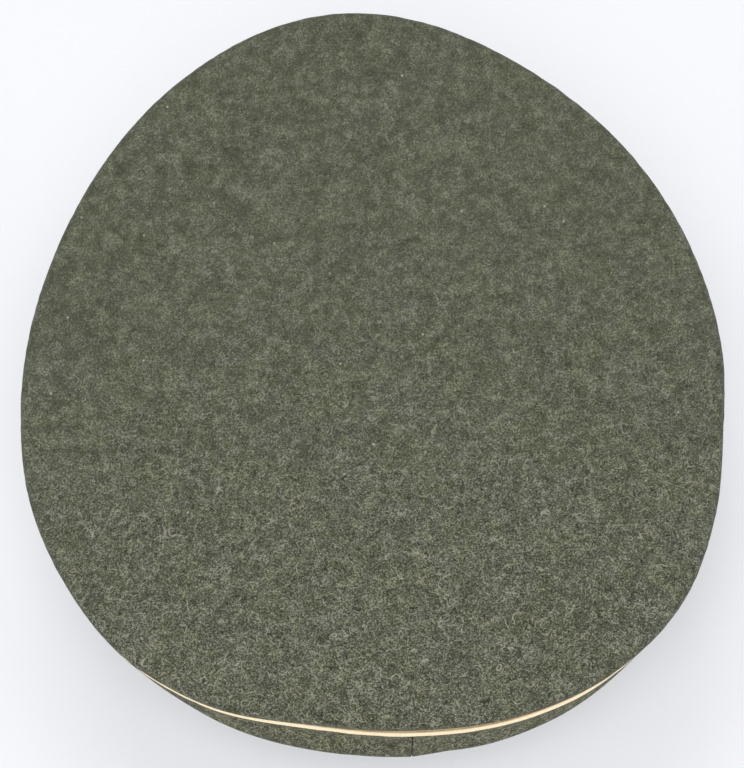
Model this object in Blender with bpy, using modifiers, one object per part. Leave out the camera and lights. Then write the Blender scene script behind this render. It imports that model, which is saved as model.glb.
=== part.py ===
"""A peaked cap of field-grey wool with cream piping: the construction model, in metres, +Z up.

The cap is drawn in its own frame: the band's lower edge lies on the plane Z = 0, the band's oval is centred
on the Z axis and the peak points towards -Y. The finished cap is then set down as such a cap rests by itself,
on the rear of its band and the tip of its peak, with the origin under the middle of its bounding box.

A bearing is an angle in degrees in plan, from the front (-Y) towards the wearer's left (+X).
"""

import math
from collections import namedtuple

import bmesh
import bpy
from mathutils import Matrix, Vector

# Clearance and cloth
GAP = 0.0003
CLOTH = 0.002
PIPING_RADIUS = 0.0012

# Band: an oval ring of cloth over a stiffener
BAND_WIDTH = 0.172
BAND_LENGTH = 0.214
BAND_HEIGHT = 0.044
BAND_WALL = 0.0035
LOWER_PIPING_LIFT = 0.001

# Crown: plan size at the rim, and the rim's rise over the band's upper edge
CROWN_WIDTH = 0.260
CROWN_LENGTH = 0.271
CROWN_SET_FORWARD = 0.003
FRONT_RISE = 0.064
SHOULDER_RISE = 0.048
SIDE_RISE = 0.033
BACK_RISE = 0.042
ROLL_RADIUS = 0.0035
ROLL_LIP = 0.001
PIPING_TUCK = 0.0014
SEAM_RIDGE = 0.0011
SEAM_RIDGE_ARC = 8.0

# Peak: a moulded plate that starts under the band and slopes down, with a beaded rim
PEAK_DEPTH = 0.054
PEAK_WALL = 0.002
PEAK_BEAD_RADIUS = 0.0016
PEAK_FLANGE = 0.003
PEAK_HALF_SPAN = 63.0
PEAK_ROOT_SLOPE = 28.0
PEAK_RIM_SLOPE = 47.0
PEAK_FORWARD_SHARE = 0.45

# Chin strap and its buttons
STRAP_WIDTH = 0.014
STRAP_THICKNESS = 0.0018
STRAP_HALF_SPAN = 67.5
STRAP_END_ARC = 4.5
BUTTON_RADIUS = 0.006
BUTTON_HEIGHT = 0.0034
BUTTON_EDGE = 0.0009

# The rear of the band is cloth, and its lowest edge is pressed flat by this much where it rests
REST_FLAT = 0.0004

RIM_STEPS = 64
TOP_RINGS = (0.28, 0.52, 0.72, 0.87, 0.96, 1.0)
ROLL_STEPS = 3
WALL_STEPS = 7
PEAK_STEPS = 28
PEAK_ROWS = 6
STRAP_STEPS = 24
BUTTON_STEPS = 20

# The rim's plan, as shares of the ellipse CROWN_WIDTH by CROWN_LENGTH, on the wearer's left and right
RimRow = namedtuple("RimRow", "bearing left right")
RIM_SHAPE = (
    RimRow(0, 1.000, 1.000),
    RimRow(30, 0.980, 0.975),
    RimRow(60, 0.972, 0.994),
    RimRow(90, 0.996, 0.995),
    RimRow(105, 1.021, 0.999),
    RimRow(120, 1.037, 1.029),
    RimRow(135, 1.050, 1.060),
    RimRow(150, 1.032, 1.055),
    RimRow(165, 0.996, 1.028),
    RimRow(180, 1.000, 1.000),
)

# The side wall's curve from the rim to the band. The handles are shares of the wall's own drop, the tuck is a
# share of PIPING_TUCK: how far the piping sits inside the rim, or outside it where negative.
WallRow = namedtuple("WallRow", "bearing tuck rim_out rim_down foot_out foot_up")
WALL_SHAPE = (
    WallRow(0, 1.0, -0.10, 0.33, 0.20, 0.33),
    WallRow(45, 1.0, 0.00, 0.33, 0.40, 0.25),
    WallRow(90, 1.0, 0.00, 0.40, 1.20, 0.16),
    WallRow(135, 0.5, -0.10, 0.45, 1.70, 0.08),
    WallRow(158, -0.3, -0.10, 0.45, 1.68, 0.01),
    WallRow(180, -1.0, -0.10, 0.45, 1.43, -0.05),
)


# Plan curves

def plan_direction(bearing):
    angle = math.radians(bearing)
    return Vector((math.sin(angle), -math.cos(angle), 0))


def oval_reach(bearing, width, length):
    """Distance from an ellipse's centre to its edge at a bearing."""
    angle = math.radians(bearing)
    return 1 / math.hypot(math.sin(angle) / (width / 2), math.cos(angle) / (length / 2))


def around(rows, bearing, column):
    """A table's column at any bearing, through a smooth closed curve; each row also stands for its mirror image."""
    pair = column if isinstance(column, tuple) else (column, column)
    left = [(row.bearing, getattr(row, pair[0])) for row in rows]
    right = [(-row.bearing, getattr(row, pair[1])) for row in rows[1:-1]]
    knots = sorted(left + right)
    knots = [(b - 360, v) for b, v in knots[-2:]] + knots + [(b + 360, v) for b, v in knots[:2]]
    bearing = (bearing + 180) % 360 - 180
    k = next(i for i in range(1, len(knots) - 2) if knots[i][0] <= bearing <= knots[i + 1][0])
    (b0, v0), (b1, v1), (b2, v2), (b3, v3) = knots[k - 1:k + 3]
    t = (bearing - b1) / (b2 - b1)
    slope1 = (v2 - v0) / (b2 - b0) * (b2 - b1)
    slope2 = (v3 - v1) / (b3 - b1) * (b2 - b1)
    return (
        (2 * t**3 - 3 * t**2 + 1) * v1
        + (t**3 - 2 * t**2 + t) * slope1
        + (3 * t**2 - 2 * t**3) * v2
        + (t**3 - t**2) * slope2
    )


def band_normal(bearing):
    point = plan_direction(bearing) * oval_reach(bearing, BAND_WIDTH, BAND_LENGTH)
    return Vector((point.x / BAND_WIDTH**2, point.y / BAND_LENGTH**2, 0)).normalized()


def band_point(bearing, out=0.0, up=0.0):
    """A point out from the band's outer face and up from its lower edge."""
    point = plan_direction(bearing) * oval_reach(bearing, BAND_WIDTH, BAND_LENGTH)
    return point + band_normal(bearing) * out + Vector((0, 0, up))


def rim_plan(bearing):
    reach = oval_reach(bearing, CROWN_WIDTH, CROWN_LENGTH) * around(RIM_SHAPE, bearing, ("left", "right"))
    return plan_direction(bearing) * reach - Vector((0, CROWN_SET_FORWARD, 0))


def rim_normal(bearing):
    along = rim_plan(bearing + 1) - rim_plan(bearing - 1)
    return Vector((along.y, -along.x, 0)).normalized()


# Crown: a saddle between the high front, the low sides and the back

def saddle_terms():
    """The rim's height over the band's lower edge as a0 + a1 cos b + a2 cos 2b + a3 cos 3b."""
    front, shoulder, side, back = (
        BAND_HEIGHT + rise for rise in (FRONT_RISE, SHOULDER_RISE, SIDE_RISE, BACK_RISE)
    )
    a0 = (front + back) / 4 + side / 2
    a2 = (front + back) / 4 - side / 2
    both = (front - back) / 2
    difference = math.sqrt(2) * (shoulder - a0)
    return a0, (both + difference) / 2, a2, (both - difference) / 2


def saddle_height(share, bearing):
    """Height of the crown's top at a share of the way from its centre to the rim, stretched like a skin."""
    angle = math.radians(bearing)
    return sum(a * share**k * math.cos(k * angle) for k, a in enumerate(saddle_terms()))


def saddle_slope(bearing):
    """The angle at which the top meets the rim, upwards and outwards."""
    angle = math.radians(bearing)
    rise = sum(k * a * math.cos(k * angle) for k, a in enumerate(saddle_terms()))
    return math.atan2(rise, oval_reach(bearing, CROWN_WIDTH, CROWN_LENGTH))


def rim_point(bearing, out, up):
    """A point out from the rim and up from the seam line, where the top's rolled edge ends."""
    turn = math.pi / 2 + saddle_slope(bearing)
    seam = saddle_height(1, bearing) - ROLL_RADIUS * math.sin(turn) - ROLL_LIP
    return rim_plan(bearing) + rim_normal(bearing) * out + Vector((0, 0, seam + up))


def top_rows():
    """The top's outer surface as rings, from the first ring round the centre to the edge of the rolled rim."""
    rows = []
    bearings = [360 * k / RIM_STEPS for k in range(RIM_STEPS)]
    centre = Vector((0, -CROWN_SET_FORWARD, 0))
    roll = []
    for step in range(ROLL_STEPS + 1):
        ring = []
        for b in bearings:
            turn = (math.pi / 2 + saddle_slope(b)) * (1 - step / ROLL_STEPS)
            out = ROLL_RADIUS * (math.cos(turn) - 1)
            ring.append(rim_point(b, out, ROLL_LIP + ROLL_RADIUS * math.sin(turn)))
        roll.append(ring)
    for share in TOP_RINGS[:-1]:
        ring = []
        for b, edge in zip(bearings, roll[0]):
            point = centre + (edge - centre) * share
            ring.append(Vector((point.x, point.y, saddle_height(share, b))))
        rows.append(ring)
    lip = [rim_point(b, 0, 0) for b in bearings]
    return rows + roll + [lip]


def tuck(bearing):
    return PIPING_TUCK * around(WALL_SHAPE, bearing, "tuck")


def wall_top(bearing):
    """The upper edge of the side wall's outer face, just under the crown piping."""
    return rim_point(bearing, -tuck(bearing), -2 * (GAP + PIPING_RADIUS))


def wall_column(bearing):
    """The side wall's outer face at one bearing, from the band's upper edge to the crown piping."""
    foot_out = CLOTH - BAND_WALL
    foot = band_point(bearing, foot_out, BAND_HEIGHT + GAP)
    stand = band_point(bearing, foot_out, BAND_HEIGHT + 2 * (GAP + PIPING_RADIUS))
    rim = wall_top(bearing)
    hang = rim - Vector((0, 0, ROLL_LIP))
    drop = hang.z - stand.z
    shape = {name: around(WALL_SHAPE, bearing, name) for name in WallRow._fields[2:]}
    rim_handle = hang + rim_normal(bearing) * drop * shape["rim_out"] - Vector((0, 0, drop * shape["rim_down"]))
    foot_handle = stand + band_normal(bearing) * drop * shape["foot_out"]
    foot_handle += Vector((0, 0, drop * shape["foot_up"]))
    ridge = SEAM_RIDGE * max(0.0, 1 - abs(bearing - 180) / SEAM_RIDGE_ARC)
    column = [foot]
    for step in range(WALL_STEPS + 1):
        t = step / WALL_STEPS
        point = (
            stand * (1 - t)**3 + foot_handle * 3 * t * (1 - t)**2 + rim_handle * 3 * t**2 * (1 - t) + hang * t**3
        )
        column.append(point + band_normal(bearing) * ridge * math.sin(math.pi * t))
    return column + [rim]


# Blender helpers

def clear_scene():
    for old in list(bpy.data.objects):
        bpy.data.objects.remove(old)


def new_collection(name):
    made = bpy.data.collections.new(name)
    bpy.context.scene.collection.children.link(made)
    return made


def finish_material(name, colour, roughness, metallic=0.0):
    made = bpy.data.materials.new(name)
    made.use_nodes = True
    shader = made.node_tree.nodes["Principled BSDF"]
    shader.inputs["Base Color"].default_value = (*colour, 1)
    shader.inputs["Roughness"].default_value = roughness
    shader.inputs["Metallic"].default_value = metallic
    return made


def add_object(name, data, material, parent, collection):
    data.materials.append(material)
    obj = bpy.data.objects.new(name, data)
    obj.parent = parent
    collection.objects.link(obj)
    return obj


def sheet_mesh(name, rows, closed=False, centre=None):
    """A mesh over rows of points. A closed sheet joins each row's ends, and a centre closes the first row."""
    mesh = bmesh.new()
    grid = [[mesh.verts.new(p) for p in row] for row in rows]
    count = len(grid[0])
    for lower, upper in zip(grid, grid[1:]):
        for k in range(count if closed else count - 1):
            j = (k + 1) % count
            mesh.faces.new((lower[k], upper[k], upper[j], lower[j]))
    if centre is not None:
        hub = mesh.verts.new(centre)
        for k in range(count):
            mesh.faces.new((hub, grid[0][k], grid[0][(k + 1) % count]))
    return written(mesh, name)


def loft_mesh(name, sections):
    """A solid through closed sections, with its first and last section capped."""
    mesh = bmesh.new()
    rings = [[mesh.verts.new(p) for p in section] for section in sections]
    count = len(rings[0])
    for near, far in zip(rings, rings[1:]):
        for k in range(count):
            j = (k + 1) % count
            mesh.faces.new((near[k], near[j], far[j], far[k]))
    mesh.faces.new(rings[0])
    mesh.faces.new(rings[-1])
    return written(mesh, name)


def written(mesh, name):
    bmesh.ops.recalc_face_normals(mesh, faces=mesh.faces)
    data = bpy.data.meshes.new(name)
    mesh.to_mesh(data)
    mesh.free()
    data.shade_smooth()
    data.set_sharp_from_angle(angle=math.radians(40))
    return data


def thicken(obj, thickness, side=-1):
    """Turns a sheet into a wall: side -1 grows it against its normals, +1 along them."""
    wall = obj.modifiers.new("Wall", "SOLIDIFY")
    wall.thickness = thickness
    wall.offset = side
    wall.use_even_offset = True
    wall.use_rim = True


def face_outwards(data, outwards):
    """Flips a sheet whose normals don't point the way that outwards does from its first face."""
    face = data.polygons[0]
    if face.normal.dot(outwards) < 0:
        data.flip_normals()


# The cap's pieces

def make_top(add):
    rows = top_rows()
    data = sheet_mesh("crown_top", rows, closed=True, centre=Vector((0, -CROWN_SET_FORWARD, saddle_height(0, 0))))
    face_outwards(data, Vector((0, 0, 1)))
    thicken(add("crown_top", data, "wool"), CLOTH)


def make_quarters(add):
    """The side wall's four pieces, sewn at the front, the back and over each ear."""
    seam_half = math.degrees(GAP / BAND_WIDTH)
    steps = RIM_STEPS // 4
    names = ("quarter_front_left", "quarter_rear_left", "quarter_rear_right", "quarter_front_right")
    for number, name in enumerate(names):
        start = 90 * number
        bearings = [start + 90 * k / steps for k in range(steps + 1)]
        bearings[0] += seam_half
        bearings[-1] -= seam_half
        columns = [wall_column(b) for b in bearings]
        data = sheet_mesh(name, columns)
        face_outwards(data, plan_direction(start))
        thicken(add(name, data, "wool"), CLOTH)


def make_piping(add, name, points):
    """A closed round cord of cloth through the points."""
    data = bpy.data.curves.new(name, "CURVE")
    data.dimensions = "3D"
    data.bevel_depth = PIPING_RADIUS
    data.bevel_resolution = 2
    spline = data.splines.new("POLY")
    spline.points.add(len(points) - 1)
    for held, point in zip(spline.points, points):
        held.co = (*point, 1)
    spline.use_cyclic_u = True
    add(name, data, "piping")


def make_pipings(add):
    bearings = [360 * k / RIM_STEPS for k in range(RIM_STEPS)]
    reach = GAP + PIPING_RADIUS
    make_piping(add, "crown_piping", [rim_point(b, -CLOTH / 2 - tuck(b), -reach) for b in bearings])
    upper_out = CLOTH - BAND_WALL + reach
    make_piping(add, "band_piping_upper", [band_point(b, upper_out, BAND_HEIGHT + reach) for b in bearings])
    lower_up = LOWER_PIPING_LIFT + PIPING_RADIUS
    make_piping(add, "band_piping_lower", [band_point(b, reach, lower_up) for b in bearings])


def make_band(add):
    bearings = [360 * k / RIM_STEPS for k in range(RIM_STEPS)]
    rows = [[band_point(b, 0, up) for b in bearings] for up in (0, BAND_HEIGHT)]
    data = sheet_mesh("band", rows, closed=True)
    face_outwards(data, plan_direction(0))
    band = add("band", data, "band_wool")
    thicken(band, BAND_WALL)
    return band


def peak_section(span_share):
    """One closed section of the peak, square to its sweep: upper face, beaded rim, lower face."""
    bearing = PEAK_HALF_SPAN * span_share
    forward = Vector((0, -1, 0)) * PEAK_FORWARD_SHARE
    heading = (band_normal(bearing) * (1 - PEAK_FORWARD_SHARE) + forward).normalized()
    depth = PEAK_DEPTH * (1 - abs(span_share)**2.2)**0.6
    half = PEAK_WALL / 2
    out, up = 0.0, -GAP - half
    middle = [(-PEAK_FLANGE, up, 0.0), (out, up, math.radians(PEAK_ROOT_SLOPE) / 2)]
    for row in range(PEAK_ROWS):
        slope = PEAK_ROOT_SLOPE + (PEAK_RIM_SLOPE - PEAK_ROOT_SLOPE) * (row + 0.5) / PEAK_ROWS
        slope = math.radians(slope)
        out += math.cos(slope) * depth / PEAK_ROWS
        up -= math.sin(slope) * depth / PEAK_ROWS
        middle.append((out, up, slope))
    upper = [(o + half * math.sin(s), u + half * math.cos(s)) for o, u, s in middle[:-1]]
    lower = [(o - half * math.sin(s), u - half * math.cos(s)) for o, u, s in middle[:-1]]
    rim_out, rim_up, rim_slope = middle[-1]
    bead = []
    for turn in (140, 84, 28, -28, -84, -140):
        angle = math.radians(turn) - rim_slope
        bead.append((rim_out + PEAK_BEAD_RADIUS * math.cos(angle), rim_up + PEAK_BEAD_RADIUS * math.sin(angle)))
    outline = upper + bead + lower[::-1]
    root = band_point(bearing)
    return [root + heading * o + Vector((0, 0, u)) for o, u in outline]


def make_peak(add):
    shares = [0.985 * math.sin(math.radians(-90 + 180 * k / PEAK_STEPS)) for k in range(PEAK_STEPS + 1)]
    return add("peak", loft_mesh("peak", [peak_section(s) for s in shares]), "peak_black")


def strap_middle():
    """Height of the strap's middle line, just above the lower piping."""
    return LOWER_PIPING_LIFT + 2 * PIPING_RADIUS + GAP + STRAP_WIDTH / 2


def make_strap(add):
    columns = []
    for k in range(STRAP_STEPS + 1):
        bearing = STRAP_HALF_SPAN * (2 * k / STRAP_STEPS - 1)
        inset = max(0.0, abs(bearing) - (STRAP_HALF_SPAN - STRAP_END_ARC)) / STRAP_END_ARC
        half = STRAP_WIDTH / 2 * math.sqrt(1 - 0.85 * inset**2)
        columns.append([band_point(bearing, GAP, strap_middle() + half * side) for side in (-1, 0, 1)])
    data = sheet_mesh("chin_strap", columns)
    face_outwards(data, plan_direction(-STRAP_HALF_SPAN))
    thicken(add("chin_strap", data, "strap_leather"), STRAP_THICKNESS, side=1)


def make_button(add, name, bearing):
    """A domed button: a turned profile on the band's normal, its back just clear of the strap."""
    profile = [(0.0, BUTTON_HEIGHT)]
    for turn in (25, 50, 75):
        angle = math.radians(turn)
        dome = BUTTON_HEIGHT - BUTTON_EDGE
        profile.append((BUTTON_RADIUS * math.sin(angle), BUTTON_EDGE + dome * math.cos(angle)))
    profile += [(BUTTON_RADIUS, BUTTON_EDGE), (BUTTON_RADIUS * 0.95, 0.0), (0.0, 0.0)]
    mesh = bmesh.new()
    verts = [mesh.verts.new((r, 0, z)) for r, z in profile]
    for a, b in zip(verts, verts[1:]):
        mesh.edges.new((a, b))
    data = bpy.data.meshes.new(name)
    mesh.to_mesh(data)
    mesh.free()
    button = add(name, data, "button_black")
    turn = button.modifiers.new("Turn", "SCREW")
    turn.axis = "Z"
    turn.steps = turn.render_steps = BUTTON_STEPS
    turn.use_merge_vertices = True
    turn.merge_threshold = 0.00001
    turn.use_smooth_shade = False
    facing = Vector((0, 0, 1)).rotation_difference(band_normal(bearing)).to_matrix().to_4x4()
    seat = band_point(bearing, STRAP_THICKNESS + 2 * GAP, strap_middle())
    button.matrix_local = Matrix.Translation(seat) @ facing
    return button


# Setting the cap down

def mesh_points(obj):
    """The object's evaluated points in its parent's frame."""
    graph = bpy.context.evaluated_depsgraph_get()
    shown = obj.evaluated_get(graph)
    data = shown.to_mesh()
    points = [obj.matrix_local @ vert.co for vert in data.vertices]
    shown.to_mesh_clear()
    return points


def lowest(points, tilt):
    return min(p.z * math.cos(tilt) - p.y * math.sin(tilt) for p in points)


def rest_tilt(peak_points, band_points):
    """The angle at which the peak's tip meets the table with the band's rear edge pressed flat."""
    low, high = 0.0, math.radians(25)
    for _ in range(40):
        tilt = (low + high) / 2
        if lowest(peak_points, tilt) < lowest(band_points, tilt) + REST_FLAT:
            low = tilt
        else:
            high = tilt
    return tilt


def set_down(frame, pieces, peak, band):
    """Tilts the cap back on to its peak and puts the origin under the middle of its box."""
    bpy.context.view_layer.update()
    tilt = rest_tilt(mesh_points(peak), mesh_points(band))
    height = -lowest(mesh_points(peak), tilt)
    turn = Matrix.Rotation(-tilt, 4, "X")
    placed = [turn @ p for piece in pieces for p in mesh_points(piece)]
    middle = [(min(p[k] for p in placed) + max(p[k] for p in placed)) / 2 for k in (0, 1)]
    frame.matrix_world = Matrix.Translation((-middle[0], -middle[1], height)) @ turn


def press_flat(band, cutters):
    """Cuts the band's rear edge along the table, as the cloth is pressed flat there."""
    bpy.ops.mesh.primitive_cube_add(size=2 * CROWN_LENGTH, location=(0, 0, -CROWN_LENGTH))
    table = bpy.context.object
    table.name = "table_cutter"
    for holder in list(table.users_collection):
        holder.objects.unlink(table)
    cutters.objects.link(table)
    table.hide_render = True
    table.display_type = "WIRE"
    cut = band.modifiers.new("Table", "BOOLEAN")
    cut.operation = "DIFFERENCE"
    cut.object = table


def main():
    clear_scene()
    cap = new_collection("peaked_cap")
    cutters = new_collection("cutters")
    frame = bpy.data.objects.new("cap_frame", None)
    cap.objects.link(frame)
    materials = {
        "wool": finish_material("wool", (0.125, 0.130, 0.092), 0.95),
        "band_wool": finish_material("band_wool", (0.030, 0.048, 0.040), 0.95),
        "piping": finish_material("piping", (0.90, 0.80, 0.60), 0.85),
        "peak_black": finish_material("peak_black", (0.012, 0.012, 0.013), 0.18),
        "strap_leather": finish_material("strap_leather", (0.016, 0.015, 0.015), 0.35),
        "button_black": finish_material("button_black", (0.020, 0.020, 0.021), 0.30, 0.6),
    }
    pieces = []

    def add(name, data, finish):
        obj = add_object(name, data, materials[finish], frame, cap)
        pieces.append(obj)
        return obj

    make_top(add)
    make_quarters(add)
    make_pipings(add)
    band = make_band(add)
    peak = make_peak(add)
    make_strap(add)
    make_button(add, "button_left", STRAP_HALF_SPAN - STRAP_END_ARC)
    make_button(add, "button_right", STRAP_END_ARC - STRAP_HALF_SPAN)
    set_down(frame, pieces, peak, band)
    press_flat(band, cutters)


main()
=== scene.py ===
"""The looks of a peaked cap of field-grey wool cloth with cream piping, resting on a pale table.

Each piece is drawn in the cap's own frame, as a pattern cutter would: the band's lower edge is the plane
Z = 0, its oval is centred on the Z axis, and the peak points to -Y. The frame's band then says how the cap
lies on the table. A bearing is an angle in degrees in plan, from the front (-Y) towards the wearer's left
(+X). An arc is such an angle too. Lengths are in metres.
"""

import math
from collections import namedtuple

import bmesh
import bpy
from mathutils import Matrix, Vector, noise


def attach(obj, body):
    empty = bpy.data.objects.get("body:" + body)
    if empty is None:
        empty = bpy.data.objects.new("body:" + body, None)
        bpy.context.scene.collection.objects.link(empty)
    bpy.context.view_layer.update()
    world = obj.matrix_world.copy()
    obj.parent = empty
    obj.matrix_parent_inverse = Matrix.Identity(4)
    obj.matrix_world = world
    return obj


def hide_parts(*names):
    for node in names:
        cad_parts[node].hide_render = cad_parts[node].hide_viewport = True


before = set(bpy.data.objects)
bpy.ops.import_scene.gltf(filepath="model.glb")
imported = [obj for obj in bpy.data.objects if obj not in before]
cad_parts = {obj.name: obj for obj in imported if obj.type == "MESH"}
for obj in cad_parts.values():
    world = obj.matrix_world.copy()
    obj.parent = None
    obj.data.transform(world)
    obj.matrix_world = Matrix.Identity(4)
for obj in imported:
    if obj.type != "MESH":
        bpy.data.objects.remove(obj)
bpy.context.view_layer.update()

# Cloth and clearance. GAP parts the pieces as in the solids, and SNUG those that are sewn together at the
# crown's rim. Each UNEVEN is a height, and the SWELL or SPACING beside it is the size of its hollows.
GAP = 0.0003
SNUG = 0.00005
CLOTH = 0.002
CLOTH_EDGE = 0.0006
PIPING_RADIUS = 0.0012
PIPING_UNEVEN = 0.00014
PIPING_SWELL = 0.006
# Painted shade along the crown cord's top, where it meets the crown: the arc from the top that it reaches,
# and the arc over which it fades
SEAM_SHADE_ARC = 24.0
SEAM_SHADE_FADE_ARC = 20.0
LIP_OVERLAP = 0.8

# Band
BAND_WIDTH = 0.172
BAND_LENGTH = 0.214
BAND_HEIGHT = 0.044
BAND_WALL = 0.0035
LOWER_PIPING_LIFT = 0.001

# Crown
CROWN_WIDTH = 0.260
CROWN_LENGTH = 0.271
CROWN_SET_FORWARD = 0.003
FRONT_RISE = 0.064
SHOULDER_RISE = 0.048
SIDE_RISE = 0.033
BACK_RISE = 0.042
ROLL_RADIUS = 0.0035
ROLL_LIP = 0.001
PIPING_TUCK = 0.0014
CLOTH_UNEVEN = 0.0005
TOP_SWELL = 0.045
TOP_SWELL_POWER = 6
TOP_RING_POWER = 0.8
WALL_SWELL = 0.03
NAP_UNEVEN = 0.00016
NAP_SPACING = 0.0032
SEAM_OPEN = 0.0004
SEAM_EDGE_ARC = 0.6
SEAM_RIDGE = 0.0012
SEAM_RIDGE_ARC_LEFT = 8.0
SEAM_RIDGE_ARC_RIGHT = 5.0

# Peak
PEAK_DEPTH = 0.054
PEAK_WALL = 0.002
PEAK_BEAD_RADIUS = 0.0016
PEAK_BEAD_FADE = 0.008
PEAK_FLANGE = 0.003
PEAK_HALF_SPAN = 63.0
PEAK_ROOT_SLOPE = 28.0
PEAK_RIM_SLOPE = 47.0
PEAK_FORWARD_SHARE = 0.45
PEAK_PLAN_POWER = 2.2
PEAK_END_POWER = 0.6
PEAK_END_SHARE = 0.999
PEAK_BEAD_ARC = 280.0

# Chin strap and buttons
STRAP_WIDTH = 0.014
STRAP_THICKNESS = 0.0018
STRAP_EDGE = 0.0003
STRAP_CREASE = 0.0004
STRAP_CREASE_SHARE = 0.80
STRAP_CREASE_REACH = 0.06
STRAP_HALF_SPAN = 67.5
STRAP_END_ARC = 4.5
STRAP_END_TAPER = 0.85
BUTTON_RADIUS = 0.006
BUTTON_BACK_RADIUS = 0.0057
BUTTON_HEIGHT = 0.0034
BUTTON_EDGE = 0.0009
BUTTON_BACK_EDGE = 0.00036
BUTTON_DOME_ARC = 78.0

# How finely the shapes are drawn. An edge is sharp over SHARP_ANGLE degrees, and a face of the frame whose
# normal rises by more than FACING_UP faces up.
RIM_STEPS = 576
TOP_RINGS = 44
ROLL_STEPS = 8
WALL_STEPS = 26
BAND_STEPS = 10
PIPING_STEPS = 24
PEAK_STEPS = 96
PEAK_ROWS = 22
PEAK_BEAD_STEPS = 12
STRAP_STEPS = 160
DOME_STEPS = 12
BUTTON_STEPS = 48
SHARP_ANGLE = 50.0
FACING_UP = 0.9

# The rim's plan, as shares of the ellipse CROWN_WIDTH by CROWN_LENGTH, on the wearer's left and right
RimRow = namedtuple("RimRow", "bearing left right")
RIM_SHAPE = (
    RimRow(0, 1.000, 1.000),
    RimRow(30, 0.980, 0.975),
    RimRow(60, 0.972, 0.994),
    RimRow(90, 0.999, 1.001),
    RimRow(105, 1.023, 0.998),
    RimRow(120, 1.037, 1.029),
    RimRow(135, 1.050, 1.060),
    RimRow(150, 1.032, 1.055),
    RimRow(165, 0.996, 1.028),
    RimRow(180, 1.000, 1.000),
)

# The side wall's curve, with handles as shares of its drop; the tucks are shares of PIPING_TUCK
WallRow = namedtuple("WallRow", "bearing tuck_left tuck_right rim_out rim_down foot_out foot_up")
WALL_SHAPE = (
    WallRow(0, 1.0, 1.0, -0.10, 0.33, 0.20, 0.33),
    WallRow(45, 1.0, 1.0, 0.00, 0.33, 0.40, 0.25),
    WallRow(90, 1.0, 1.0, 0.00, 0.40, 1.20, 0.16),
    WallRow(135, 0.4, 0.9, -0.10, 0.45, 1.70, 0.08),
    WallRow(146, 0.05, 0.3, -0.10, 0.45, 1.69, 0.05),
    WallRow(158, -0.3, -0.6, -0.10, 0.45, 1.655, 0.01),
    WallRow(180, -1.0, -1.0, -0.10, 0.45, 1.43, -0.05),
)

# Woollen cloth. The sizes are those of the real patterns, but a wool fibre is 0.025 mm thick, too fine to
# show in the render, so the flecks are drawn 0.6 mm wide, the curled fibres 0.2 mm and the loose hairs
# 0.1 mm. Curl is the size of a fibre's curls, breadth a share of it, and run how far it can be followed.
FLECK = 0.0006
CLUMP = 0.0055
Fibres = namedtuple("Fibres", "curl breadth run shift")
PALE_FIBRES = (Fibres(0.0018, 0.080, 0.003, 11.0), Fibres(0.0013, 0.100, 0.004, 17.0))
DARK_FIBRES = Fibres(0.0014, 0.100, 0.003, 23.0)
LOOSE_HAIRS = Fibres(0.0060, 0.016, 0.006, 31.0)
FIBRE_RUNS = (0.46, 0.60)
PALE_FIBRE_SHARE = 0.16
DARK_FIBRE_SHARE = 0.14
SHADE_STOPS = (0.30, 0.50, 0.74)
SPECK_SPACING = 0.011
SPECK_RADII = (0.00022, 0.00066)

# Patches of hue: the size and shift of the broad and the small ones, and the small ones' part in the blend.
# HUE_LEAST is the second hue's least share in worn and in fresh cloth, and its most is as far below one.
HUE_PATCHES = ((0.020, 8.3), (0.005, 9.7))
HUE_PATCH_MIX = 0.6
HUE_EDGES = (0.38, 0.62)
HUE_LEAST = (0.22, 0.02)

# The other finishes' patterns, in their real sizes, except for two that are too fine to show: the piping's
# nap is drawn 0.5 mm wide, and the pores of cowhide, which are 0.3 mm apart, at 0.9 mm
PIPING_NAP = 0.0005
# The next size is that of the blotches in the crown cord's painted shade
SEAM_SHADE_BLOT = 0.003
HANDLING_MARK = 0.012
LACQUER_RIPPLE = 0.0016
WAX_SCUFF = 0.006
PORE_SPACING = 0.0009
BUTTON_RUB = 0.002

# Where the front of the cap, whose nap is rubbed smooth, passes into the fresher back
WORN_FROM = -0.06
WORN_TO = 0.14
HUE_WORN_TO = 0.02

# The three cloths. Flecks, clumps and hairs say how strongly each shows at the cap's front and at its back.
# Brushed cloth has its flecks drawn out downwards that many times.
Wool = namedtuple("Wool", "name slot shades hues pale flecks clumps hairs brushed")
GREY_SHADES = ("#26281f", "#4f5145", "#8c8e7f")
TOP_WOOL = Wool(
    name="field_grey_wool_worn",
    slot="wool",
    shades=GREY_SHADES,
    hues=("#fefeee", "#fcfbfb"),
    pale="#b9b8a6",
    flecks=(0.42, 0.90),
    clumps=(0.30, 0.18),
    hairs=(0.06, 0.45),
    brushed=1.0,
)
SIDE_WOOL = Wool(
    name="field_grey_wool",
    slot="wool",
    shades=GREY_SHADES,
    hues=("#fefbe0", "#fefaee"),
    pale="#b9b8a6",
    flecks=(0.78, 1.12),
    clumps=(0.18, 0.18),
    hairs=(0.25, 0.45),
    brushed=1.6,
)
BAND_WOOL = Wool(
    name="dark_green_wool",
    slot="band_wool",
    shades=("#101714", "#25322c", "#46564d"),
    hues=("#fffff8", "#fafdff"),
    pale="#55635a",
    flecks=(0.90, 0.90),
    clumps=(0.18, 0.18),
    hairs=(0.45, 0.45),
    brushed=1.0,
)

# Settings that several nodes share: a smooth ramp, and a blend of colours, whose output is the third
SMOOTH = {"interpolation_type": "SMOOTHSTEP"}
COLOURS = {"data_type": "RGBA", "output": 2}

# A finish is a material and the name of its slot
Finish = namedtuple("Finish", "material slot")

# The camera: behind the cap and above it
VIEW_AZIMUTH = 174.2
VIEW_ELEVATION = 60.5
VIEW_DISTANCE = 0.95
VIEW_LENS = 119.0
VIEW_SENSOR = 36.0
VIEW_TARGET = (-0.0003, 0.0081, 0.0755)

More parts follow.
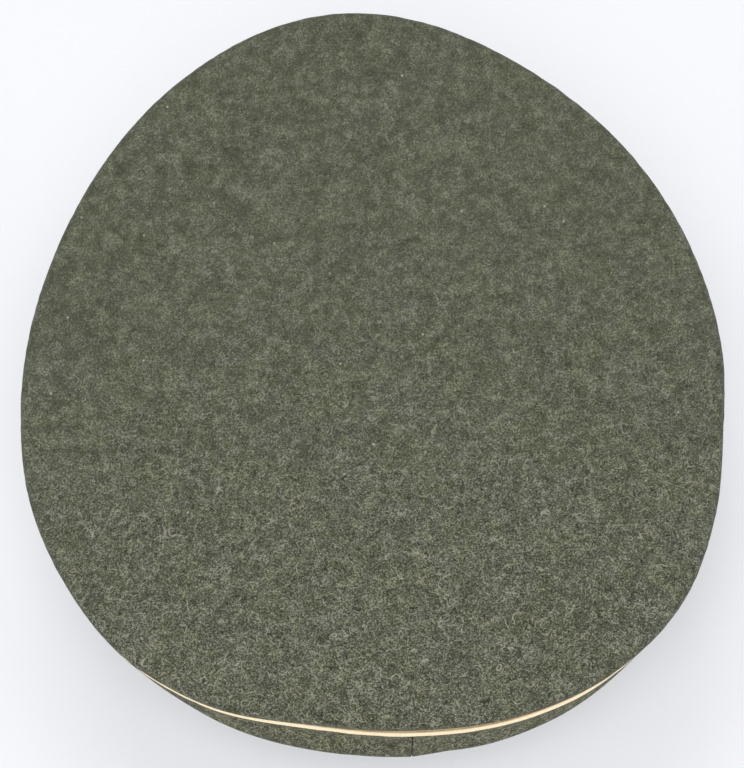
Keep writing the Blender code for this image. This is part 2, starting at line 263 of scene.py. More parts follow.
# Light: a soft box behind the cap, a weaker one in front of it, one low on each side, and the pale room
SoftBox = namedtuple("SoftBox", "name place size watts")
SOFT_BOXES = (
    SoftBox("rear_soft_box", (0.16, 0.86, 1.60), 0.9, 16.9),
    SoftBox("front_soft_box", (0.10, -0.95, 1.70), 1.0, 8.9),
    SoftBox("left_soft_box", (1.30, 0.00, 0.80), 0.9, 2.1),
    SoftBox("right_soft_box", (-1.30, 0.10, 0.80), 0.9, 2.8),
)
ROOM_LIGHT = 0.50
TABLE_GLOW = 0.30
TABLE_REACH = 12.0


# Plan curves and the crown's shape

def plan_direction(bearing):
    """A level unit vector at a bearing."""
    angle = math.radians(bearing)
    return Vector((math.sin(angle), -math.cos(angle), 0))


def oval_reach(bearing, width, length):
    """Distance from an ellipse's centre to its edge at a bearing."""
    angle = math.radians(bearing)
    return 1 / math.hypot(math.sin(angle) / (width / 2), math.cos(angle) / (length / 2))


def around(rows, bearing, column):
    """A table's column at any bearing, through a smooth closed curve.

    Each row stands for its mirror image too. A pair of columns gives the left side's and the right side's.
    """
    pair = column if isinstance(column, tuple) else (column, column)
    left = [(row.bearing, getattr(row, pair[0])) for row in rows]
    right = [(-row.bearing, getattr(row, pair[1])) for row in rows[1:-1]]
    knots = sorted(left + right)
    knots = [(b - 360, v) for b, v in knots[-2:]] + knots + [(b + 360, v) for b, v in knots[:2]]
    bearing = (bearing + 180) % 360 - 180
    k = next(i for i in range(1, len(knots) - 2) if knots[i][0] <= bearing <= knots[i + 1][0])
    (b0, v0), (b1, v1), (b2, v2), (b3, v3) = knots[k - 1:k + 3]
    t = (bearing - b1) / (b2 - b1)
    slope1 = (v2 - v0) / (b2 - b0) * (b2 - b1)
    slope2 = (v3 - v1) / (b3 - b1) * (b2 - b1)
    return (
        (2 * t**3 - 3 * t**2 + 1) * v1
        + (t**3 - 2 * t**2 + t) * slope1
        + (3 * t**2 - 2 * t**3) * v2
        + (t**3 - t**2) * slope2
    )


def band_normal(bearing):
    """The level direction straight out of the band's outer face."""
    point = plan_direction(bearing) * oval_reach(bearing, BAND_WIDTH, BAND_LENGTH)
    return Vector((point.x / BAND_WIDTH**2, point.y / BAND_LENGTH**2, 0)).normalized()


def band_point(bearing, out=0.0, up=0.0):
    """A point out from the band's outer face and up from its lower edge."""
    point = plan_direction(bearing) * oval_reach(bearing, BAND_WIDTH, BAND_LENGTH)
    return point + band_normal(bearing) * out + Vector((0, 0, up))


def rim_plan(bearing):
    """The crown's widest line in plan."""
    reach = oval_reach(bearing, CROWN_WIDTH, CROWN_LENGTH) * around(RIM_SHAPE, bearing, ("left", "right"))
    return plan_direction(bearing) * reach - Vector((0, CROWN_SET_FORWARD, 0))


def rim_normal(bearing):
    """The level direction straight out of the crown's widest line."""
    along = rim_plan(bearing + 1) - rim_plan(bearing - 1)
    return Vector((along.y, -along.x, 0)).normalized()


def saddle_terms():
    """The rim's height over the band's lower edge as a0 + a1 cos b + a2 cos 2b + a3 cos 3b."""
    front, shoulder, side, back = (
        BAND_HEIGHT + rise for rise in (FRONT_RISE, SHOULDER_RISE, SIDE_RISE, BACK_RISE)
    )
    a0 = (front + back) / 4 + side / 2
    a2 = (front + back) / 4 - side / 2
    both = (front - back) / 2
    difference = math.sqrt(2) * (shoulder - a0)
    return a0, (both + difference) / 2, a2, (both - difference) / 2


def saddle_height(share, bearing):
    """Height of the crown's top at a share of the way from its centre to the rim."""
    angle = math.radians(bearing)
    return sum(a * share**k * math.cos(k * angle) for k, a in enumerate(saddle_terms()))


def saddle_slope(bearing):
    """The angle at which the top meets the rim, upwards and outwards."""
    angle = math.radians(bearing)
    rise = sum(k * a * math.cos(k * angle) for k, a in enumerate(saddle_terms()))
    return math.atan2(rise, oval_reach(bearing, CROWN_WIDTH, CROWN_LENGTH))


def rim_point(bearing, out, up):
    """A point out from the rim and up from the seam line, where the top's rolled edge ends."""
    turn = math.pi / 2 + saddle_slope(bearing)
    seam = saddle_height(1, bearing) - ROLL_RADIUS * math.sin(turn) - ROLL_LIP
    return rim_plan(bearing) + rim_normal(bearing) * out + Vector((0, 0, seam + up))


def tuck(bearing):
    """How far the crown piping is tucked in under the rim. Where it stands proud of it, this is negative."""
    return PIPING_TUCK * around(WALL_SHAPE, bearing, ("tuck_left", "tuck_right"))


def unevenness(point, size, seed):
    """A soft random swell between about -1 and 1, with hollows of roughly the size given."""
    return noise.noise(point / size + Vector((seed, seed, seed)))


# Mesh helpers

def placement():
    """The cap's own frame as it rests, read from the upper edge of the frame's band."""
    faces = [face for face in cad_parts["band"].data.polygons if face.normal.z > FACING_UP]
    area = sum(face.area for face in faces)
    up = sum((face.normal * face.area for face in faces), Vector()) / area
    middle = sum((face.center * face.area for face in faces), Vector()) / area
    tilt = math.atan2(up.y, up.z)
    turn = Matrix.Rotation(-tilt, 4, "X")
    return Matrix.Translation(middle) @ turn @ Matrix.Translation((0, 0, -BAND_HEIGHT))


def offset_rows(rows, distance, closed):
    """The same grid moved along its normals."""
    count = len(rows[0])
    moved = []
    for r, row in enumerate(rows):
        below, above = rows[max(r - 1, 0)], rows[min(r + 1, len(rows) - 1)]
        line = []
        for k, point in enumerate(row):
            before = row[k - 1] if closed or k else row[k]
            after = row[(k + 1) % count] if closed or k < count - 1 else row[k]
            normal = (after - before).cross(above[k] - below[k]).normalized()
            line.append(point + normal * distance)
        moved.append(line)
    return moved


def skin(mesh, grid, closed, looped=False):
    """Faces over a grid of points; returns its vertices. A looped grid's last row meets its first."""
    verts = [[mesh.verts.new(point) for point in row] for row in grid]
    count = len(grid[0])
    following = verts[1:] + (verts[:1] if looped else [])
    for low, high in zip(verts, following):
        for k in range(count if closed else count - 1):
            j = (k + 1) % count
            mesh.faces.new((low[k], low[j], high[j], high[k]))
    return verts


def shell(name, outer, inner, closed, pole=False):
    """A closed wall between two grids. A pole fills each one's first ring instead of joining them there."""
    mesh = bmesh.new()
    outside, inside = skin(mesh, outer, closed), skin(mesh, inner, closed)
    count = len(outer[0])
    if pole:
        mesh.faces.new(outside[0])
        mesh.faces.new(inside[0])
    for row in ((-1,) if pole else (0, -1)):
        for k in range(count if closed else count - 1):
            j = (k + 1) % count
            mesh.faces.new((outside[row][k], outside[row][j], inside[row][j], inside[row][k]))
    if not closed:
        for end in (0, -1):
            for r in range(len(outer) - 1):
                corners = (outside[r][end], outside[r + 1][end], inside[r + 1][end], inside[r][end])
                mesh.faces.new(corners)
    return finished(mesh, name)


def loft(name, sections):
    """A solid through closed sections, with its first and last section capped."""
    mesh = bmesh.new()
    rings = skin(mesh, sections, closed=True)
    mesh.faces.new(rings[0])
    mesh.faces.new(rings[-1])
    return finished(mesh, name)


def finished(mesh, name):
    """The mesh laid as the cap rests, pressed flat where it meets the table."""
    bmesh.ops.recalc_face_normals(mesh, faces=mesh.faces)
    mesh.transform(REST)
    for vert in mesh.verts:
        vert.co.z = max(vert.co.z, 0.0)
    data = bpy.data.meshes.new(name)
    mesh.to_mesh(data)
    mesh.free()
    data.shade_smooth()
    data.set_sharp_from_angle(angle=math.radians(SHARP_ANGLE))
    return data


def dress(name, data, finish, *nodes):
    """Adds a piece that rides on the cap and stands for the frame's nodes."""
    piece = bpy.data.objects.new(name, data)
    bpy.context.scene.collection.objects.link(piece)
    data.materials.append(finish.material)
    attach(piece, "root")
    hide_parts(*nodes)
    return piece


def round_edges(piece, width, segments=3):
    """Rounds a piece's sharp edges."""
    edge = piece.modifiers.new("Edge", "BEVEL")
    edge.width = width
    edge.segments = segments
    edge.limit_method = "ANGLE"
    edge.angle_limit = math.radians(SHARP_ANGLE)
    edge.use_clamp_overlap = True


# Materials

def linear(hex_colour):
    """An sRGB hex colour as linear RGBA."""
    channels = [int(hex_colour[k:k + 2], 16) / 255 for k in (1, 3, 5)]
    return (*[c / 12.92 if c <= 0.04045 else ((c + 0.055) / 1.055)**2.4 for c in channels], 1)


def feed(tree, node, inputs):
    """Gives each socket, by name or number, a value or another node's output."""
    for socket, source in inputs.items():
        if isinstance(source, bpy.types.NodeSocket):
            tree.links.new(source, node.inputs[socket])
        else:
            node.inputs[socket].default_value = source


def add_node(tree, kind, inputs=(), output=0, **settings):
    """Adds a node and returns one of its outputs.

    Its inputs are a dict for feed, or values and outputs in the order of its sockets.
    """
    node = tree.nodes.new("ShaderNode" + kind)
    for name, value in settings.items():
        setattr(node, name, value)
    feed(tree, node, inputs if isinstance(inputs, dict) else dict(enumerate(inputs)))
    return node.outputs[output]


def start_material(name, inputs):
    """A material with its shader's fixed values set; returns it, its tree and its shader."""
    made = bpy.data.materials.new(name)
    made.use_nodes = True
    shader = made.node_tree.nodes["Principled BSDF"]
    feed(made.node_tree, shader, inputs)
    return made, made.node_tree, shader


def spots(tree, where, size, detail=2.0, rough=0.5, shift=0.0):
    """A soft random pattern whose spots are about the size given. Each shift gives another such pattern."""
    place = add_node(tree, "Mapping", {0: where, "Location": (shift, shift * 1.7, -shift)})
    return add_node(
        tree, "TexNoise", {"Vector": place, "Scale": 1 / size, "Detail": detail, "Roughness": rough}
    )


def curled_fibres(tree, where, fibres):
    """Thin curled lines: where a soft noise crosses its middle value, broken into runs by a second one."""
    field = spots(tree, where, fibres.curl, 0.5, shift=fibres.shift)
    from_middle = add_node(tree, "Math", (field, 0.5), operation="SUBTRACT")
    away = add_node(tree, "Math", (from_middle,), operation="ABSOLUTE")
    line = add_node(tree, "MapRange", (away, 0.0, fibres.breadth, 1.0, 0.0), **SMOOTH)
    broken = spots(tree, where, fibres.run, 1.0, shift=fibres.shift + 5)
    runs = add_node(tree, "MapRange", (broken, *FIBRE_RUNS), **SMOOTH)
    return add_node(tree, "Math", (line, runs), operation="MULTIPLY")


def felted_wool(cloth):
    """Milled woollen cloth: dyed fibres of several shades felted together, matt, with pale hairs in it."""
    fixed = {
        "Roughness": 0.95,
        "Specular IOR Level": 0.2,
        "Sheen Weight": 0.10,
        "Sheen Roughness": 0.6,
        "Sheen Tint": linear("#b9bba8"),
    }
    made, tree, shader = start_material(cloth.name, fixed)
    place = add_node(tree, "TexCoord", output="Object")
    where = add_node(tree, "Mapping", {0: place, "Scale": (1, 1, 1 / cloth.brushed)})
    along = add_node(tree, "SeparateXYZ", (where,), "Y")
    flecks, clumps, hairs = (
        add_node(tree, "MapRange", (along, WORN_FROM, WORN_TO, *strength), **SMOOTH)
        for strength in (cloth.flecks, cloth.clumps, cloth.hairs)
    )

    # Shade: fine flecks and fibres, in broad clumps
    pale = add_node(
        tree, "Math", [curled_fibres(tree, where, fibres) for fibres in PALE_FIBRES], operation="MAXIMUM"
    )
    dark = curled_fibres(tree, where, DARK_FIBRES)
    fine = add_node(tree, "Math", (spots(tree, where, FLECK, 2.0, 0.55), 0.5), operation="SUBTRACT")
    fine = add_node(tree, "Math", (pale, PALE_FIBRE_SHARE, fine), operation="MULTIPLY_ADD")
    fine = add_node(tree, "Math", (dark, -DARK_FIBRE_SHARE, fine), operation="MULTIPLY_ADD")
    broad = add_node(tree, "Math", (spots(tree, where, CLUMP, 3.0, 0.68, 3.1), 0.5), operation="SUBTRACT")
    tone = add_node(tree, "Math", (broad, clumps, 0.5), operation="MULTIPLY_ADD")
    tone = add_node(tree, "Math", (fine, flecks, tone), operation="MULTIPLY_ADD")
    shade = add_node(tree, "ValToRGB", (tone,))
    stops = shade.node.color_ramp.elements
    stops.new(SHADE_STOPS[1])
    for stop, position, colour in zip(stops, SHADE_STOPS, cloth.shades):
        stop.position = position
        stop.color = linear(colour)

    # Hue: soft patches, weaker where the cloth is worn
    patches = [spots(tree, where, size, shift=shift) for size, shift in HUE_PATCHES]
    patch = add_node(tree, "Mix", {0: HUE_PATCH_MIX, 2: patches[0], 3: patches[1]})
    least = add_node(tree, "MapRange", (along, WORN_FROM, HUE_WORN_TO, *HUE_LEAST), **SMOOTH)
    most = add_node(tree, "Math", (1.0, least), operation="SUBTRACT")
    share = add_node(tree, "MapRange", (patch, *HUE_EDGES, least, most), **SMOOTH)
    hue = add_node(tree, "Mix", {0: share, 6: linear(cloth.hues[0]), 7: linear(cloth.hues[1])}, **COLOURS)
    colour = add_node(tree, "Mix", {0: 1.0, 6: shade, 7: hue}, blend_type="MULTIPLY", **COLOURS)

    # Loose pale hairs, and a few specks of lint
    hair = add_node(tree, "Math", (curled_fibres(tree, where, LOOSE_HAIRS), hairs), operation="MULTIPLY")
    colour = add_node(tree, "Mix", {0: hair, 6: colour, 7: linear(cloth.pale)}, **COLOURS)
    away = add_node(tree, "TexVoronoi", {"Vector": where, "Scale": 1 / SPECK_SPACING}, "Distance")
    specks = [radius / SPECK_SPACING for radius in SPECK_RADII]
    lint = add_node(tree, "MapRange", (away, *specks, 0.5, 0.0), **SMOOTH)
    colour = add_node(tree, "Mix", {0: lint, 6: colour, 7: linear(cloth.pale)}, **COLOURS)

    bump = add_node(tree, "Bump", {"Height": tone, "Strength": 0.6, "Distance": 0.0005})
    feed(tree, shader, {"Base Color": colour, "Normal": bump})
    return Finish(made, cloth.slot)


def piping_cloth():
    """Fine cream wool cloth sewn over a cord: smooth and nearly matt, with painted ochre shade along the
    seam where the crown cord meets the crown.
    """
    made, tree, shader = start_material("piping_cloth", {"Roughness": 0.85, "Sheen Weight": 0.1})
    where = add_node(tree, "TexCoord", output="Object")
    nap = spots(tree, where, PIPING_NAP)
    share = add_node(tree, "MapRange", (nap, 0.35, 0.65), **SMOOTH)
    cloth = add_node(tree, "Mix", {0: share, 6: linear("#f9dfb4"), 7: linear("#fff0d2")}, **COLOURS)
    # Painted shade: the cord's top, where it tucks under the crown's rolled edge, is darkened to ochre in
    # blotches
    seam_shade = add_node(tree, "Attribute", output="Fac", attribute_name="seam_shade")
    blots = spots(tree, where, SEAM_SHADE_BLOT, shift=2.0)
    blots = add_node(tree, "MapRange", (blots, 0.3, 0.7, 0.8, 1.0), **SMOOTH)
    shade_amount = add_node(tree, "Math", (seam_shade, blots), operation="MULTIPLY")
    colour = add_node(tree, "Mix", {0: shade_amount, 6: cloth, 7: linear("#8a6a3a")}, **COLOURS)
    bump = add_node(tree, "Bump", {"Height": nap, "Strength": 0.3, "Distance": 0.0002})
    feed(tree, shader, {"Base Color": colour, "Normal": bump})
    return Finish(made, "piping")


def lacquered_fibre():
    """Pressed fibre board under black lacquer: a deep, slightly uneven gloss, dulled by handling marks."""
    fixed = {"Base Color": linear("#161617"), "Coat Weight": 0.6, "Coat Roughness": 0.08}
    made, tree, shader = start_material("lacquered_fibre", fixed)
    where = add_node(tree, "TexCoord", output="Object")
    marks = spots(tree, where, HANDLING_MARK, 4.0, 0.7)
    dull = add_node(tree, "MapRange", (marks, 0.35, 0.75, 0.16, 0.34), **SMOOTH)
    height = spots(tree, where, LACQUER_RIPPLE, 1.0, shift=4.0)
    bump = add_node(tree, "Bump", {"Height": height, "Strength": 0.12, "Distance": 0.0002})
    feed(tree, shader, {"Roughness": dull, "Normal": bump})
    return Finish(made, "peak_black")


def strap_leather():
    """Black dyed cowhide, waxed: fine pores, and scuffs where the wax has worn off."""
    made, tree, shader = start_material("waxed_cowhide", {})
    where = add_node(tree, "TexCoord", output="Object")
    pores = add_node(tree, "TexVoronoi", {"Vector": where, "Scale": 1 / PORE_SPACING}, "Distance")
    wear = add_node(tree, "MapRange", (spots(tree, where, WAX_SCUFF, 3.0), 0.4, 0.7), **SMOOTH)
    colour = add_node(tree, "Mix", {0: wear, 6: linear("#181716"), 7: linear("#24211f")}, **COLOURS)
    dull = add_node(tree, "MapRange", (wear, 0.0, 1.0, 0.36, 0.52), **SMOOTH)
    bump = add_node(tree, "Bump", {"Height": pores, "Strength": 0.3, "Distance": 0.0002})
    feed(tree, shader, {"Base Color": colour, "Roughness": dull, "Normal": bump})
    return Finish(made, "strap_leather")


def lacquered_button():
    """Pressed metal under dark lacquer, rubbed a little on the dome."""
    fixed = {"Base Color": linear("#363638"), "Metallic": 0.6}
    made, tree, shader = start_material("lacquered_button", fixed)
    where = add_node(tree, "TexCoord", output="Object")
    rubbed = spots(tree, where, BUTTON_RUB, 3.0)
    rubbed = add_node(tree, "MapRange", (rubbed, 0.4, 0.7, 0.28, 0.42), **SMOOTH)
    feed(tree, shader, {"Roughness": rubbed})
    return Finish(made, "button_black")


def table_paper():
    """A seamless sheet of matt white paper on a light table, whose glow thins the shadows."""
    fixed = {
        "Base Color": linear("#cacbce"),
        "Roughness": 0.9,
        "Specular IOR Level": 0.1,
        "Emission Color": linear("#f8fafe"),
        "Emission Strength": TABLE_GLOW,
    }
    return start_material("table_paper", fixed)[0]


# Pieces

def evenly(steps):
    """Bearings all round, evenly spaced."""
    return [360 * k / steps for k in range(steps)]


def lip_turn(bearing):
    """How far the top's lip turns in under the rim, so that it always meets the cord."""
    return max(0.0, tuck(bearing) + CLOTH / 2 - LIP_OVERLAP * PIPING_RADIUS)


def make_top(wool):
    """The crown's top, stretched over the rim and rolled down to the piping."""
    bearings = evenly(RIM_STEPS)
    roll = []
    for step in range(ROLL_STEPS + 1):
        ring = []
        for b in bearings:
            turn = (math.pi / 2 + saddle_slope(b)) * (1 - step / ROLL_STEPS)
            place = rim_plan(b) + Vector((0, 0, turn * ROLL_RADIUS))
            radius = ROLL_RADIUS + NAP_UNEVEN * unevenness(place, NAP_SPACING, 3.0)
            out, up = radius * math.cos(turn) - ROLL_RADIUS, ROLL_LIP + radius * math.sin(turn)
            ring.append(rim_point(b, out, up))
        roll.append(ring)
    centre = Vector((0, -CROWN_SET_FORWARD, 0))
    rows = []
    for step in range(1, TOP_RINGS):
        share = (step / TOP_RINGS)**TOP_RING_POWER
        ring = []
        for b, edge in zip(bearings, roll[0]):
            point = centre + (edge - centre) * share
            point.z = saddle_height(share, b)
            point.z += CLOTH_UNEVEN * unevenness(point, TOP_SWELL, 2.0) * (1 - share**TOP_SWELL_POWER)
            ring.append(point)
        rows.append(ring)
    rows += roll + [[rim_point(b, -lip_turn(b), SNUG - GAP) for b in bearings]]
    inner = offset_rows(rows, CLOTH, closed=True)
    inner[-2] = [rim_point(b, -CLOTH, ROLL_LIP) for b in bearings]
    inner[-1] = [rim_point(b, -lip_turn(b) - CLOTH, SNUG - GAP) for b in bearings]
    piece = dress("wool_top", shell("wool_top", rows, inner, closed=True, pole=True), wool, "crown_top")
    round_edges(piece, CLOTH_EDGE)


def wall_column(bearing):
    """The side wall's outer face at one bearing, from the band's upper edge to the crown piping."""
    foot_out = CLOTH - BAND_WALL
    foot = band_point(bearing, foot_out, BAND_HEIGHT + GAP)
    stand = band_point(bearing, foot_out, BAND_HEIGHT + 2 * (GAP + PIPING_RADIUS))
    rim = rim_point(bearing, -tuck(bearing), -GAP - 2 * PIPING_RADIUS - SNUG)
    hang = rim - Vector((0, 0, ROLL_LIP))
    drop = hang.z - stand.z
    shape = {name: around(WALL_SHAPE, bearing, name) for name in WallRow._fields[3:]}
    rim_handle = hang + rim_normal(bearing) * drop * shape["rim_out"]
    rim_handle.z -= drop * shape["rim_down"]
    foot_handle = stand + band_normal(bearing) * drop * shape["foot_out"]
    foot_handle.z += drop * shape["foot_up"]
    ridge_arc = SEAM_RIDGE_ARC_LEFT if bearing < 180 else SEAM_RIDGE_ARC_RIGHT
    ridge = SEAM_RIDGE * max(0.0, 1 - abs(bearing - 180) / ridge_arc)
    column = [foot, (foot + stand) / 2]
    for step in range(WALL_STEPS + 1):
        t = step / WALL_STEPS
        point = stand * (1 - t)**3 + foot_handle * 3 * t * (1 - t)**2
        point += rim_handle * 3 * t**2 * (1 - t) + hang * t**3
        swell = (CLOTH_UNEVEN * unevenness(point, WALL_SWELL, 5.0) + ridge) * math.sin(math.pi * t)
        column.append(point + band_normal(bearing) * swell)
    return column + [rim]


def make_quarters(wool):
    """The side wall's four pieces, sewn at the front, the back and over each ear."""
    half_open = math.degrees(SEAM_OPEN / CROWN_WIDTH)
    steps = RIM_STEPS // 4
    names = ("front_left", "rear_left", "rear_right", "front_right")
    for number, name in enumerate(names):
        start = 90 * number
        end = start + 90
        first = start + SEAM_EDGE_ARC
        inside = [first + (90 - 2 * SEAM_EDGE_ARC) * k / steps for k in range(steps + 1)]
        sewn = [wall_column(b) for b in [start, *inside, end]]
        inner = offset_rows(sewn, CLOTH, closed=False)
        columns = [wall_column(start + half_open), *sewn[1:-1], wall_column(end - half_open)]
        data = shell(f"wool_quarter_{name}", columns, inner, closed=False)
        piece = dress(f"wool_quarter_{name}", data, wool, f"quarter_{name}")
        round_edges(piece, CLOTH_EDGE)


def make_piping(name, middle, finish, node, seam_shade):
    """A round cord in its cloth. The last argument gives how much painted shade it has at each angle round
    it, from the top.
    """
    bearings = evenly(RIM_STEPS)
    rows = []
    for b in bearings:
        centre, outward = middle(b)
        swell = 1 + PIPING_UNEVEN / PIPING_RADIUS * unevenness(centre, PIPING_SWELL, 7.0)
        ring = []
        for step in range(PIPING_STEPS):
            angle = 2 * math.pi * step / PIPING_STEPS
            arm = outward * math.sin(angle) + Vector((0, 0, math.cos(angle)))
            ring.append(centre + arm * PIPING_RADIUS * swell)
        rows.append(ring)
    mesh = bmesh.new()
    shade_amount = mesh.verts.layers.float.new("seam_shade")
    for ring in skin(mesh, rows, closed=True, looped=True):
        for step, vert in enumerate(ring):
            vert[shade_amount] = seam_shade(360 * step / PIPING_STEPS)
    dress(name, finished(mesh, name), finish, node)


def make_pipings(cloth):
    """The crown's piping, with painted shade along its seam, and the unshaded ones at the band's edges."""
    reach = GAP + PIPING_RADIUS

    def crown(b):
        return rim_point(b, -CLOTH / 2 - tuck(b), -reach), rim_normal(b)

    def upper(b):
        return band_point(b, CLOTH - BAND_WALL + reach, BAND_HEIGHT + reach), band_normal(b)

    def lower(b):
        return band_point(b, reach, LOWER_PIPING_LIFT + PIPING_RADIUS), band_normal(b)

    # Painted shade: full at the crown cord's top, fading out further round it
    def shaded_in_seam(angle):
        away = min(angle, 360 - angle)
        return min(1.0, max(0.0, (SEAM_SHADE_ARC - away) / SEAM_SHADE_FADE_ARC))

    def unshaded(angle):
        return 0.0

    make_piping("crown_cord", crown, cloth, "crown_piping", shaded_in_seam)
    make_piping("band_cord_upper", upper, cloth, "band_piping_upper", unshaded)
    make_piping("band_cord_lower", lower, cloth, "band_piping_lower", unshaded)


def make_band(wool):
    """The band's oval ring."""
    bearings = evenly(RIM_STEPS)
    heights = [BAND_HEIGHT * k / BAND_STEPS for k in range(BAND_STEPS + 1)]
    outer = [[band_point(b, 0, up) for b in bearings] for up in heights]
    inner = [[band_point(b, -BAND_WALL, up) for b in bearings] for up in heights]
    piece = dress("cloth_band", shell("cloth_band", outer, inner, closed=True), wool, "band")
    round_edges(piece, CLOTH_EDGE)


def peak_section(span_share):
    """One closed section of the peak: upper face, beaded rim, lower face."""
    bearing = PEAK_HALF_SPAN * span_share
    forward = Vector((0, -1, 0)) * PEAK_FORWARD_SHARE
    heading = (band_normal(bearing) * (1 - PEAK_FORWARD_SHARE) + forward).normalized()
    depth = PEAK_DEPTH * (1 - abs(span_share)**PEAK_PLAN_POWER)**PEAK_END_POWER
    half = PEAK_WALL / 2
    bead_radius = half + (PEAK_BEAD_RADIUS - half) * min(1.0, depth / PEAK_BEAD_FADE)
    out, up = 0.0, -GAP - half
    middle = [(-PEAK_FLANGE, up, 0.0), (out, up, math.radians(PEAK_ROOT_SLOPE) / 2)]
    for row in range(PEAK_ROWS):
        slope = PEAK_ROOT_SLOPE + (PEAK_RIM_SLOPE - PEAK_ROOT_SLOPE) * (row + 0.5) / PEAK_ROWS
        slope = math.radians(slope)
        out += math.cos(slope) * depth / PEAK_ROWS
        up -= math.sin(slope) * depth / PEAK_ROWS
        middle.append((out, up, slope))
    upper = [(o + half * math.sin(s), u + half * math.cos(s)) for o, u, s in middle[:-1]]
    lower = [(o - half * math.sin(s), u - half * math.cos(s)) for o, u, s in middle[:-1]]
    rim_out, rim_up, rim_slope = middle[-1]
    bead = []
    for step in range(PEAK_BEAD_STEPS + 1):
        angle = math.radians(PEAK_BEAD_ARC / 2 - PEAK_BEAD_ARC * step / PEAK_BEAD_STEPS) - rim_slope
        bead.append((rim_out + bead_radius * math.cos(angle), rim_up + bead_radius * math.sin(angle)))
    outline = upper + bead + lower[::-1]
    root = band_point(bearing)
    return [root + heading * o + Vector((0, 0, u)) for o, u in outline]


def make_peak(lacquer):
    """The peak, through sections that stand closer together towards its ends."""
    turns = [math.radians(-90 + 180 * k / PEAK_STEPS) for k in range(PEAK_STEPS + 1)]
    shares = [PEAK_END_SHARE * math.sin(turn) for turn in turns]
    dress("moulded_peak", loft("moulded_peak", [peak_section(s) for s in shares]), lacquer, "peak")


def strap_middle():
    """Height of the strap's middle line, just above the lower piping."""
    return LOWER_PIPING_LIFT + 2 * PIPING_RADIUS + GAP + STRAP_WIDTH / 2


def make_strap(leather):
    """The chin strap, pressed with a crease along each edge."""
    rows_out, rows_in = [], []
    crease, reach = STRAP_CREASE_SHARE, STRAP_CREASE_REACH
    half_places = (0.4, crease - reach, crease, crease + reach, 1.0)
    places = (*(-place for place in reversed(half_places)), 0.0, *half_places)
    for k in range(STRAP_STEPS + 1):
        bearing = STRAP_HALF_SPAN * (2 * k / STRAP_STEPS - 1)
        inset = max(0.0, abs(bearing) - (STRAP_HALF_SPAN - STRAP_END_ARC)) / STRAP_END_ARC
        half = STRAP_WIDTH / 2 * math.sqrt(1 - STRAP_END_TAPER * inset**2)
        face = []
        for place in places:
            creased = STRAP_CREASE if abs(place) == crease else 0.0
            face.append(band_point(bearing, GAP + STRAP_THICKNESS - creased, strap_middle() + half * place))
        rows_out.append(face)
        rows_in.append([band_point(bearing, GAP, strap_middle() + half * place) for place in places])
    data = shell("leather_strap", rows_out, rows_in, closed=False)
    round_edges(dress("leather_strap", data, leather, "chin_strap"), STRAP_EDGE, segments=2)


def make_button(name, bearing, finish, node):
    """A domed button on the band's normal, its back just clear of the strap."""
    profile = []
    for step in range(1, DOME_STEPS + 1):
        angle = math.radians(BUTTON_DOME_ARC * step / DOME_STEPS)
        dome = BUTTON_HEIGHT - BUTTON_EDGE
        profile.append((BUTTON_RADIUS * math.sin(angle), BUTTON_EDGE + dome * math.cos(angle)))
    profile += [(BUTTON_RADIUS, BUTTON_EDGE), (BUTTON_RADIUS, BUTTON_BACK_EDGE), (BUTTON_BACK_RADIUS, 0.0)]
    facing = Vector((0, 0, 1)).rotation_difference(band_normal(bearing)).to_matrix().to_4x4()
    seat = Matrix.Translation(band_point(bearing, STRAP_THICKNESS + 2 * GAP, strap_middle())) @ facing
    turns = [2 * math.pi * k / BUTTON_STEPS for k in range(BUTTON_STEPS)]
    rows = []
    for radius, up in profile:
        ring = [Vector((radius * math.cos(turn), radius * math.sin(turn), up)) for turn in turns]
        rows.append([seat @ point for point in ring])
    mesh = bmesh.new()
    rings = skin(mesh, rows, closed=True)
    crown = mesh.verts.new(seat @ Vector((0, 0, BUTTON_HEIGHT)))
    for k in range(BUTTON_STEPS):
        mesh.faces.new((crown, rings[0][k], rings[0][(k + 1) % BUTTON_STEPS]))
    mesh.faces.new(rings[-1])
    dress(name, finished(mesh, name), finish, node)


# Table, light and camera

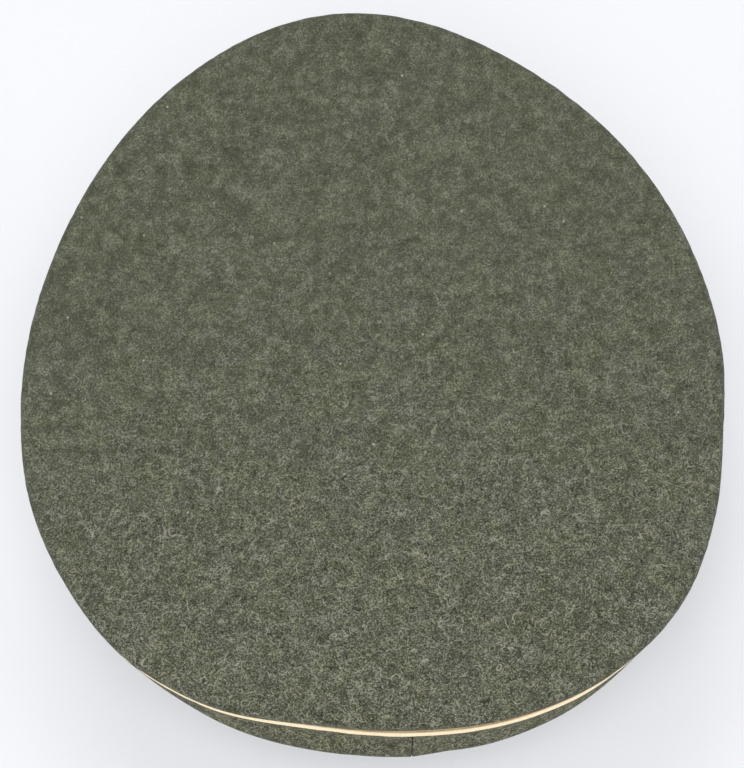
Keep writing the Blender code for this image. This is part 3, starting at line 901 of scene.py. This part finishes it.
def make_table(paper):
    """The table's top, which reaches past the view on every side."""
    mesh = bmesh.new()
    bmesh.ops.create_grid(mesh, x_segments=2, y_segments=2, size=TABLE_REACH)
    data = bpy.data.meshes.new("table")
    mesh.to_mesh(data)
    mesh.free()
    table = bpy.data.objects.new("table", data)
    data.materials.append(paper)
    bpy.context.scene.collection.objects.link(table)


def make_light():
    """The soft boxes, each aimed at the cap, and the room's own light."""
    for row in SOFT_BOXES:
        lamp = bpy.data.lights.new(row.name, "AREA")
        lamp.size = row.size
        lamp.energy = row.watts
        box = bpy.data.objects.new(row.name, lamp)
        box.location = row.place
        box.rotation_euler = Vector(row.place).to_track_quat("Z", "Y").to_euler()
        bpy.context.scene.collection.objects.link(box)
    world = bpy.data.worlds.new("pale_room")
    world.use_nodes = True
    background = world.node_tree.nodes["Background"]
    feed(world.node_tree, background, {"Color": linear("#fafbfd"), "Strength": ROOM_LIGHT})
    bpy.context.scene.world = world
    bpy.context.scene.view_settings.view_transform = "Standard"


def make_camera():
    """The camera, aimed at the crown."""
    a, e = math.radians(VIEW_AZIMUTH), math.radians(VIEW_ELEVATION)
    back = Vector((math.sin(a) * math.cos(e), -math.cos(a) * math.cos(e), math.sin(e)))
    lens = bpy.data.cameras.new("camera")
    lens.lens = VIEW_LENS
    lens.sensor_width = VIEW_SENSOR
    camera = bpy.data.objects.new("camera", lens)
    camera.location = Vector(VIEW_TARGET) + back * VIEW_DISTANCE
    camera.rotation_euler = back.to_track_quat("Z", "Y").to_euler()
    bpy.context.scene.collection.objects.link(camera)
    bpy.context.scene.camera = camera


REST = placement()
button_finish = lacquered_button()

make_top(felted_wool(TOP_WOOL))
make_quarters(felted_wool(SIDE_WOOL))
make_pipings(piping_cloth())
make_band(felted_wool(BAND_WOOL))
make_peak(lacquered_fibre())
make_strap(strap_leather())
make_button("domed_button_left", STRAP_HALF_SPAN - STRAP_END_ARC, button_finish, "button_left")
make_button("domed_button_right", STRAP_END_ARC - STRAP_HALF_SPAN, button_finish, "button_right")
make_table(table_paper())
make_light()
make_camera()
